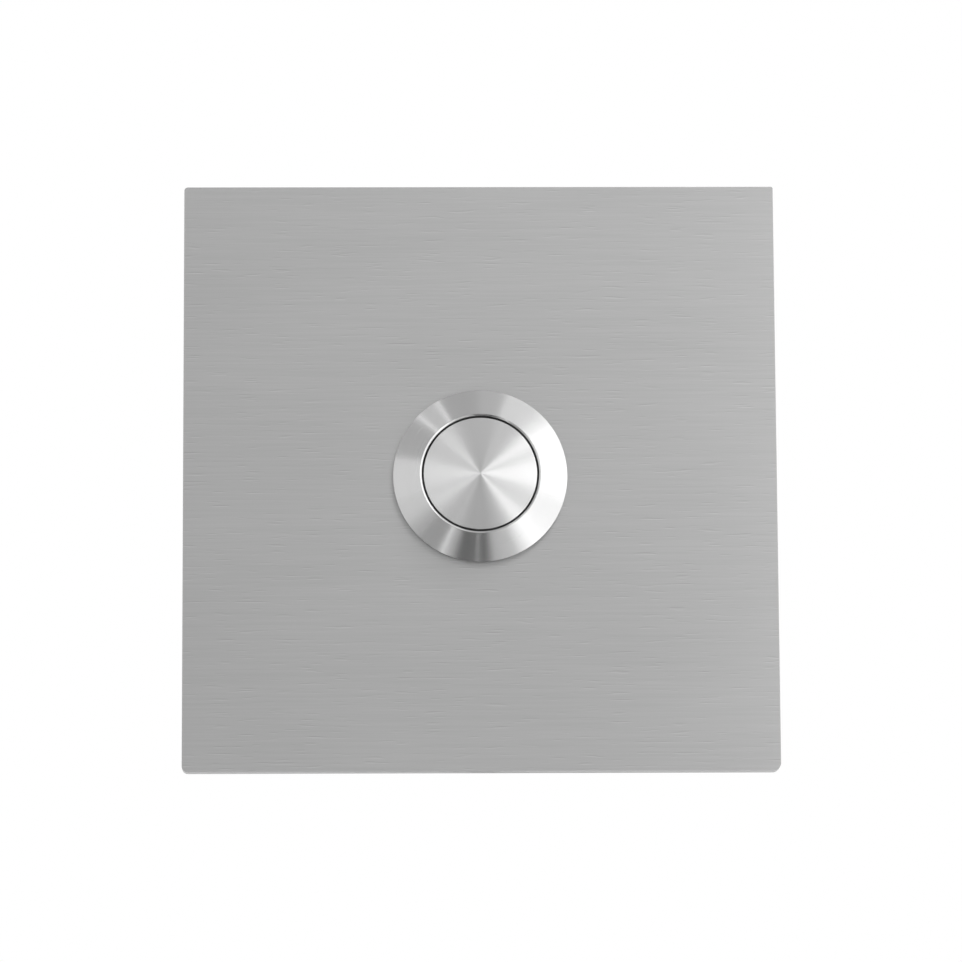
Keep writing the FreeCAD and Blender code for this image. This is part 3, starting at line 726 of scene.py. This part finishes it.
    def keep(self, name: str, slot: str, node: str, body: Body = Body.HOUSING,
             smooth: float = SAME_FACE, finish: str | None = None) -> bpy.types.Object:
        """Finish the piece and put it in the part.

        Args:
            name: the piece's name.
            slot: the record's material slot.
            node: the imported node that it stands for.
            body: the body that it moves with.
            smooth: the angle in degrees below which an edge doesn't show.
            finish: its finish, where that isn't the one named after the slot.

        Returns:
            The piece.
        """
        self.weld()
        bmesh.ops.recalc_face_normals(self.mesh, faces=self.mesh.faces)
        data = bpy.data.meshes.new(name)
        self.mesh.to_mesh(data)
        self.mesh.free()
        data.shade_smooth()
        data.set_sharp_from_angle(angle=math.radians(smooth))
        data.materials.append(MATERIALS[finish or slot])
        piece = put_in_scene(name, data)
        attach(piece, body.value)
        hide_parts(node)
        log.info("%s: %d faces, on %s, for %s", name, len(data.polygons), body.value, node)
        return piece


def spaced(start: float, end: float, steps: int) -> list[float]:
    """Numbers at even steps from start to end."""
    return [start + (end - start) * step / steps for step in range(steps + 1)]


def crowned(edge: float, apex: float, crown: float) -> list[Pair]:
    """The section of a face of radius edge, its middle at depth apex and its rim crown behind."""
    sphere = (edge ** 2 + crown ** 2) / (2 * crown)
    return [(radius, apex + sphere - math.sqrt(sphere ** 2 - radius ** 2))
            for radius in spaced(0.0, edge, CROWN_STEPS)]


def rounded(radius: float, depth: float, size: float, start: float, end: float) -> list[Pair]:
    """The section of an arc of radius size round (radius, depth), between two directions."""
    angles = [math.radians(angle) for angle in spaced(start, end, RIM_STEPS)]
    return [(radius + size * math.cos(angle), depth + size * math.sin(angle)) for angle in angles]


MATERIALS = {name: finish.material() for name, finish in FINISHES.items()}


# Sub-assemblies

def dress_packed_nodes() -> None:
    """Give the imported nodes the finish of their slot, for those that keep their packed form."""
    for node in frame["nodes"].values():
        for place in node.material_slots:
            place.material = MATERIALS[place.material.name.split(".")[0]]


@dataclass
class PlateSet:
    """The brushed plate, its weld studs and the foam frame behind it."""

    edge_break: float = 0.28 * MM
    corner_radii: tuple[float, ...] = (0.70 * MM, 1.00 * MM, 0.25 * MM, 0.45 * MM)
    hole: float = 9.6 * MM
    stud_radius: float = 2.0 * MM
    stud_root: float = 1.57 * MM
    stud_pitch: float = 0.7 * MM
    stud_flange: float = 2.75 * MM
    flange_thickness: float = 0.8 * MM
    flange_step: float = 0.05 * MM
    tip_chamfer: float = 0.5 * MM
    gasket_corner: float = 2.0 * MM
    gasket_edge: float = 0.12 * MM
    window: float = 22.0 * MM
    window_corner: float = 3.0 * MM
    stud_hole: float = 3.25 * MM

    def build(self) -> None:
        """Make the three pieces."""
        self.plate()
        self.studs()
        self.gasket()

    def plate(self) -> None:
        """The square plate, its corners each eased by its own amount and its front edges broken."""
        low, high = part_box("face_plate")
        blank = Blank()
        corners = [(low.x, low.z), (high.x, low.z), (high.x, high.z), (low.x, high.z)]
        blank.outline(corners, list(self.corner_radii))
        blank.circle(self.hole, steps=ROUND_STEPS)
        blank.raise_slab(low.y, high.y)
        blank.soften(self.edge_break, segments=4, over=SQUARE_CORNER, where=lambda middle: (
            middle.y < low.y + AT_DEPTH and math.hypot(middle.x, middle.z) > self.hole))
        blank.keep("brushed_plate", "plate_steel", "face_plate")

    def studs(self) -> None:
        """Four weld studs with rolled threads."""
        low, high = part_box("mounting_studs")
        neck = low.y + self.flange_thickness
        tip = high.y - self.tip_chamfer
        blank = Blank()
        blank.thread(self.stud_radius, self.stud_root, self.stud_pitch, neck, high.y, STUD_STEPS,
                     lambda radius, depth: min(radius, self.stud_radius - max(0.0, depth - tip)))
        blank.turn([
            (0.0, low.y),
            (self.stud_flange, low.y),
            (self.stud_flange, neck),
            (self.stud_radius + self.flange_step, neck),
        ])
        blank.close_at(neck)
        blank.close_at(high.y)
        reach = high.x - self.stud_flange
        blank.repeat([(-reach, -reach), (reach, -reach), (reach, reach), (-reach, reach)])
        blank.keep("threaded_studs", "stud_steel", "mounting_studs")

    def gasket(self) -> None:
        """The foam frame, with its window and the holes for the studs."""
        low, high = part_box("wall_gasket")
        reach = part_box("mounting_studs")[1].x - self.stud_flange
        blank = Blank()
        for edge, radius in ((high.x, self.gasket_corner), (self.window, self.window_corner)):
            blank.outline([(-edge, -edge), (edge, -edge), (edge, edge), (-edge, edge)], [radius] * 4)
        for across in (-reach, reach):
            for up in (-reach, reach):
                blank.circle(self.stud_hole, across, up)
        blank.raise_slab(low.y, high.y)
        blank.soften(self.gasket_edge, over=SQUARE_CORNER)
        blank.keep("foam_frame", "foam", "wall_gasket")


@dataclass
class TurnedBody:
    """Bezel, threaded barrel and web, turned in one piece."""

    cap_bore: float = 7.4 * MM
    rim_round: float = 0.7 * MM
    rim_steep: float = 42.0
    rim_shallow: float = 20.0
    foot_height: float = 0.4 * MM
    foot_chamfer: float = 0.14 * MM
    seal_outer: float = 10.3 * MM
    seal_recess: float = 0.35 * MM
    barrel: float = 9.5 * MM
    thread_root: float = 8.887 * MM
    thread_pitch: float = 1.0 * MM
    thread_start: float = 0.6 * MM
    relief: float = 8.84 * MM
    relief_lead: float = 0.05 * MM
    end_chamfer: float = 0.6 * MM
    rear_bore: float = 8.2 * MM
    ring_floor: float = 8.8 * MM
    ring_play: float = 0.05 * MM
    web_lip: float = 1.0 * MM
    web_front: float = -0.9 * MM
    guide_bore: float = 4.05 * MM
    seal_floor: float = 5.15 * MM
    seal_room: float = 1.3 * MM
    edge: float = 0.03 * MM

    def build(self) -> None:
        """Cut the thread, turn the rest, and close both ends of the thread."""
        low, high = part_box("button_body")
        plate_low, plate_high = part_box("face_plate")
        ring_low, ring_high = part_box("base_retaining_ring")
        thread_front = plate_high.y + self.thread_start
        chamfer_front = high.y - self.end_chamfer
        seal_front = self.web_front + self.web_lip
        seal_back = seal_front + self.seal_room
        web_back = seal_back + self.web_lip
        recess = plate_low.y - self.seal_recess
        groove_back = ring_high.y + self.ring_play
        blank = Blank()
        blank.turn([
            (self.rear_bore, high.y),
            (self.rear_bore, groove_back),
            (self.ring_floor, groove_back),
            (self.ring_floor, ring_low.y),
            (self.rear_bore, ring_low.y),
            (self.rear_bore, web_back),
            (self.guide_bore, web_back),
            (self.guide_bore, seal_back),
            (self.seal_floor, seal_back),
            (self.seal_floor, seal_front),
            (self.guide_bore, seal_front),
            (self.guide_bore, self.web_front),
            (self.cap_bore, self.web_front),
            *rounded(self.cap_bore + self.rim_round * math.sin(math.radians(self.rim_steep)),
                     low.y + self.rim_round * math.cos(math.radians(self.rim_shallow)),
                     self.rim_round, FORWARD - self.rim_steep, FORWARD - self.rim_shallow),
            (high.x, plate_low.y - self.foot_height),
            (high.x, plate_low.y - self.foot_chamfer),
            (high.x - self.foot_chamfer, plate_low.y),
            (self.seal_outer, plate_low.y),
            (self.seal_outer, recess),
            (self.barrel, recess),
            (self.barrel, plate_high.y),
            (self.relief, plate_high.y + self.relief_lead),
            (self.relief, thread_front),
        ])
        blank.soften(self.edge)
        threaded = Blank()
        threaded.thread(self.barrel, self.thread_root, self.thread_pitch, thread_front, high.y,
                        THREAD_STEPS, lambda radius, depth: min(
                            radius, self.barrel - max(0.0, depth - chamfer_front)))
        joined = bpy.data.meshes.new("thread_only")
        threaded.mesh.to_mesh(joined)
        blank.mesh.from_mesh(joined)
        bpy.data.meshes.remove(joined)
        blank.close_at(thread_front)
        blank.close_at(high.y)
        blank.keep("turned_body", "turned_steel", "button_body")


@dataclass
class Clamping:
    """The lock washer and the hexagon nut behind the plate."""

    apothem: float = 11.0 * MM
    corner_fall: float = 0.5 * MM
    bore: float = 9.55 * MM
    crest: float = 8.95 * MM
    mouth: float = 9.85 * MM
    pitch: float = 1.0 * MM
    washer_edge: float = 0.06 * MM

    def build(self) -> None:
        """Make both pieces."""
        self.washer()
        self.nut()

    def washer(self) -> None:
        """The lock washer, with the burrs taken off its notches."""
        blank = Blank.from_node("lock_washer")
        blank.soften(self.washer_edge, over=CLEAR_CORNER)
        blank.keep("notched_washer", "washer_steel", "lock_washer", smooth=SAME_STAMPING)

    def nut(self) -> None:
        """A round blank with its bore threaded and its six flats milled."""
        low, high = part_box("clamp_nut")
        blank = Blank()
        blank.thread(self.crest, self.bore, self.pitch, low.y, high.y, THREAD_STEPS,
                     lambda radius, depth: max(
                         radius, self.mouth - min(depth - low.y, high.y - depth)))
        blank.turn([
            (self.mouth, low.y),
            (self.apothem, low.y),
            (high.x, low.y + self.corner_fall),
            (high.x, high.y - self.corner_fall),
            (self.apothem, high.y),
            (self.mouth, high.y),
        ])
        self.mill_flats(blank, low.y, high.y, high.x)
        blank.weld(AT_DEPTH)
        blank.close_at(low.y)
        blank.close_at(high.y)
        blank.keep("hexagon_nut", "nut_steel", "clamp_nut")

    def mill_flats(self, blank: Blank, front: float, back: float, corner: float) -> None:
        """Bring the rims of the round blank in to the six flats.

        Args:
            blank: the turned nut.
            front: depth of its front face.
            back: depth of its back face.
            corner: radius of the hexagon's corners.
        """
        sixth = FULL_TURN / 6
        for vert in blank.mesh.verts:
            if math.hypot(vert.co.x, vert.co.z) < corner - AT_DEPTH:
                continue
            angle = math.atan2(vert.co.z, vert.co.x)
            across = self.apothem / math.cos(angle % sixth - sixth / 2)
            fall = self.corner_fall * (across - self.apothem) / (corner - self.apothem)
            depth = front + fall if vert.co.y < (front + back) / 2 else back - fall
            vert.co = (across * math.cos(angle), depth, across * math.sin(angle))


@dataclass
class PushCap:
    """The crowned cap with its stem."""

    crown: float = 0.12 * MM
    edge_round: float = 0.05 * MM
    head_thickness: float = 2.6 * MM
    stem: float = 4.0 * MM
    clip_seat: float = 3.2 * MM
    push_fit: float = 0.02 * MM
    end_chamfer: float = 0.2 * MM
    spigot: float = 1.52 * MM
    edge: float = 0.03 * MM

    def build(self) -> None:
        """Turn the cap in one piece."""
        low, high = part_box("push_cap")
        clip_low, clip_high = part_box("cap_retaining_clip")
        hole_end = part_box("plunger")[0].y - self.push_fit
        rim = high.x
        blank = Blank()
        blank.turn([
            *crowned(rim - self.edge_round, low.y, self.crown),
            *rounded(rim - self.edge_round, low.y + self.crown + self.edge_round, self.edge_round,
                     FORWARD, OUTWARD),
            (rim, low.y + self.head_thickness),
            (self.stem, low.y + self.head_thickness),
            (self.stem, clip_low.y - self.push_fit),
            (self.clip_seat, clip_low.y - self.push_fit),
            (self.clip_seat, clip_high.y + self.push_fit),
            (self.stem, clip_high.y + self.push_fit),
            (self.stem, high.y - self.end_chamfer),
            (self.stem - self.end_chamfer, high.y),
            (self.spigot, high.y),
            (self.spigot, hole_end),
            (0.0, hole_end),
        ])
        blank.soften(self.edge)
        blank.keep("crowned_cap", "turned_steel", "push_cap", Body.BUTTON, finish="faced_steel")


@dataclass
class Springs:
    """The return spring and the contact spring, wound from round wire."""

    return_wire: float = 0.5 * MM
    contact_wire: float = 0.3 * MM
    turns: float = 5.0
    end_gap: float = 0.05 * MM

    def build(self) -> None:
        """Wind both springs."""
        base_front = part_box("switch_base")[0].y
        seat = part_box("contact_spring")[0].y - self.end_gap
        self.wind("return_spring", self.return_wire, Body.HOUSING, "button_press", base_front, seat)
        self.wind("contact_spring", self.contact_wire, Body.BUTTON, "bridge_give", seat,
                  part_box("contact_bridge")[0].y)

    def wind(self, node: str, wire: float, body: Body, joint: str, anchor: float,
             moving_end: float) -> None:
        """Wind one spring.

        Args:
            node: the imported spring.
            wire: the wire's diameter.
            body: the body that its still end rests on.
            joint: the joint that shortens it.
            anchor: depth of the seat that it shortens towards.
            moving_end: depth of the other seat at rest.
        """
        low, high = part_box(node)
        travel = next(j["range_m"][1] for j in frame["joints"] if j["name"] == joint)
        room = abs(moving_end - anchor)
        blank = Blank()
        blank.coil(high.x - wire / 2, wire, self.turns, low.y, high.y)
        coil = blank.keep(f"wound_{node}", "spring_steel", node, body, SAME_WIRE)
        (room - travel) / room
        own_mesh(coil)


@dataclass
class Terminals:
    """The moulded base with its brass strips, clamp screws, wire plates and retaining ring."""

    moulding_edge: float = 0.12 * MM
    stamping_edge: float = 0.07 * MM

    def build(self) -> None:
        """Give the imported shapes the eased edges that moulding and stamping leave."""
        pieces = {
            "switch_base": ("moulded_base", "base_plastic", self.moulding_edge),
            "base_retaining_ring": ("stamped_circlip", "clip_steel", self.stamping_edge),
            "terminal_left": ("brass_strip_left", "terminal_brass", self.stamping_edge),
            "terminal_right": ("brass_strip_right", "terminal_brass", self.stamping_edge),
            "terminal_washers": ("square_wire_plates", "screw_steel", self.stamping_edge),
            "terminal_screws": ("slotted_clamp_screws", "screw_steel", self.stamping_edge),
        }
        for node, (name, slot, width) in pieces.items():
            blank = Blank.from_node(node)
            blank.soften(width, over=CLEAR_CORNER)
            blank.keep(name, slot, node, smooth=SAME_STAMPING)


# Studio

def towards(azimuth: float, elevation: float) -> Vector:
    """The direction that is azimuth degrees round from the front to the right, and elevation up."""
    a, e = math.radians(azimuth), math.radians(elevation)
    return Vector((math.sin(a) * math.cos(e), -math.cos(a) * math.cos(e), math.sin(e)))


def facing(place: Vector, side: Vector, back: Vector) -> Matrix:
    """Where something stands that has side to its right and back behind it."""
    return Matrix.Translation(place) @ Matrix((side, back.cross(side), back)).transposed().to_4x4()


@dataclass(frozen=True)
class Viewpoint:
    """The camera, where it stood for the photograph. Angles are in degrees."""

    picture_width: float = 962.0
    focal_pixels: float = 5570.0
    sensor: float = 36.0
    azimuth: float = -0.96
    elevation: float = -10.46
    roll: float = -0.293
    distance: float = 703.2 * MM
    aim_across: float = 0.096 * MM
    aim_up: float = -0.603 * MM

    def set_up(self) -> None:
        """Make the camera and look through it."""
        data = bpy.data.cameras.new("camera")
        data.sensor_width = self.sensor
        data.lens = self.sensor * self.focal_pixels / self.picture_width
        camera = put_in_scene("camera", data)
        aim = Vector((self.aim_across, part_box("face_plate")[0].y, self.aim_up))
        back = towards(self.azimuth, self.elevation)
        level = Vector((0.0, 0.0, 1.0)).cross(back).normalized()
        turned = Matrix.Rotation(math.radians(self.roll), 3, back) @ level
        camera.matrix_world = facing(aim + back * self.distance, turned, back)
        bpy.context.scene.camera = camera


class CardKind(Enum):
    """What a studio card does."""

    SOFTBOX = "softbox"
    KEY = "key"
    FLAG = "flag"


@dataclass(frozen=True)
class Card:
    """A studio card that faces the part.

    Its place is given as the button sees it, looking out: around is the direction in the picture, in
    degrees anticlockwise from the right, and off is the angle away from straight ahead. Wide and deep
    are its angles in those two directions. Level is how bright it looks in a mirror, or for a flag how
    pale its paper is. With lift, straight ahead is raised by that many degrees.
    """

    name: str
    kind: CardKind
    around: float
    off: float
    wide: float
    deep: float
    level: float
    lift: float = 0.0
    distance: float = 0.5

    def set_up(self) -> None:
        """Put the card in its place. Metal mirrors it, but the key only lights what is dull."""
        turn, lean = math.radians(self.around), math.radians(self.off)
        raise_up = Matrix.Rotation(-math.radians(self.lift), 3, "X")
        out = raise_up @ Vector((math.cos(turn), 0.0, math.sin(turn)))
        side = raise_up @ Vector((-math.sin(turn), 0.0, math.cos(turn)))
        back = out * math.sin(lean) + raise_up @ Vector((0.0, -math.cos(lean), 0.0))
        width = 2 * self.distance * math.sin(lean) * math.tan(math.radians(self.wide) / 2)
        depth = 2 * self.distance * math.tan(math.radians(self.deep) / 2)
        place = facing(back * self.distance, side, back)
        if self.kind is CardKind.FLAG:
            card = stage_sheet(Paper(self.name, grey(self.level)), place, width, depth)
            card.visible_shadow = False
        else:
            data = bpy.data.lights.new(self.name, "AREA")
            data.shape = "RECTANGLE"
            data.size = width
            data.size_y = depth
            data.energy = self.level * math.pi * width * depth
            card = put_in_scene(self.name, data)
            card.matrix_world = place
        card.visible_camera = False
        card.visible_glossy = self.kind is not CardKind.KEY
        card.visible_diffuse = self.kind is CardKind.KEY


def stage_sheet(finish: Paper | WhiteSheet, place: Matrix, width: float,
                depth: float) -> bpy.types.Object:
    """Make a flat sheet that is part of the studio and not of the object.

    Args:
        finish: its finish, which also gives its name.
        place: where its middle is and how it is turned.
        width: how wide it is.
        depth: how deep it is.

    Returns:
        The sheet.
    """
    mesh = bmesh.new()
    bmesh.ops.create_grid(mesh, x_segments=1, y_segments=1, size=0.5,
                          matrix=place @ Matrix.Diagonal((width, depth, 1.0, 1.0)))
    data = bpy.data.meshes.new(finish.name)
    mesh.to_mesh(data)
    mesh.free()
    data.materials.append(finish.material())
    sheet = put_in_scene(finish.name, data)
    return sheet


@dataclass
class Studio:
    """Floor, backdrop, plain surrounding light and cards."""

    surround: float = 0.78
    mirror_lift: float = 10.5
    floor_height: float = -0.60
    floor_size: float = 12.0
    floor_colour: Colour = grey(0.80)
    backdrop_depth: float = 1.5
    backdrop_size: float = 4.0

    def cards(self) -> list[Card]:
        """Lay out the key, the softboxes and the flags.

        Those with a lift are placed about the mirror direction of the cap, which the last four light.

        Returns:
            The cards.
        """
        soft, flag, lift = CardKind.SOFTBOX, CardKind.FLAG, self.mirror_lift
        return [
            Card("key", CardKind.KEY, 68.0, 64.0, 26.0, 20.0, 30.0, distance=1.0),
            Card("right_side", soft, -2.0, 62.0, 98.0, 56.0, 1.5),
            Card("right_upper", soft, 62.0, 62.0, 26.0, 50.0, 0.75),
            Card("above", soft, 81.0, 62.0, 18.0, 36.0, 0.15, distance=0.3),
            Card("above_front", soft, 72.0, 25.0, 50.0, 26.0, 0.45, lift, distance=0.35),
            Card("wedge", soft, 120.0, 64.0, 13.0, 44.0, 0.36),
            Card("wedge_edge_upper", soft, 113.3, 64.0, 1.4, 44.0, 2.2),
            Card("wedge_edge_lower", soft, 126.6, 64.0, 1.4, 44.0, 2.2),
            Card("left_side", soft, 180.0, 58.0, 50.0, 46.0, 0.68),
            Card("spoke_below", soft, 238.5, 48.0, 2.4, 40.0, 1.7),
            Card("strip_below", soft, 268.5, 46.0, 0.7, 40.0, 2.4, distance=0.45),
            Card("flag_lower_left", flag, 226.0, 52.0, 18.0, 44.0, 0.42),
            Card("flag_below", flag, 264.5, 48.0, 32.0, 56.0, 0.08),
            Card("cap_whole", soft, -8.0, 25.0, 104.0, 20.0, 1.9, lift),
            Card("cap_upper", soft, 35.0, 25.0, 14.0, 20.0, 2.4, lift),
            Card("cap_middle", soft, 2.0, 25.0, 28.0, 20.0, 2.2, lift),
            Card("cap_lower", soft, -47.0, 25.0, 12.0, 20.0, 2.6, lift),
        ]

    def set_up(self) -> None:
        """Set up the studio."""
        scene = bpy.context.scene
        scene.view_settings.view_transform = "Standard"
        scene.world = bpy.data.worlds.new("studio")
        scene.world.use_nodes = True
        shade = scene.world.node_tree.nodes["Background"]
        shade.inputs["Color"].default_value = opaque(grey(1.0))
        shade.inputs["Strength"].default_value = self.surround
        flat = Matrix.Translation((0.0, 0.0, self.floor_height))
        stage_sheet(Paper("pale_floor", self.floor_colour), flat, self.floor_size, self.floor_size)
        behind = Matrix.Translation((0.0, self.backdrop_depth, 0.0))
        upright = behind @ Matrix.Rotation(FULL_TURN / 4, 4, "X")
        stage_sheet(WhiteSheet("white_backdrop"), upright, self.backdrop_size, self.backdrop_size)
        for card in self.cards():
            card.set_up()


def main() -> None:
    """Dress and build the part, and set up the studio and the camera."""
    logging.basicConfig(level=logging.INFO, format="%(name)s: %(message)s")
    dress_packed_nodes()
    for group in (PlateSet(), TurnedBody(), Clamping(), PushCap(), Springs(), Terminals()):
        log.info("building %s", type(group).__name__)
        group.build()
    Studio().set_up()
    Viewpoint().set_up()


if __name__ == "__main__":
    main()
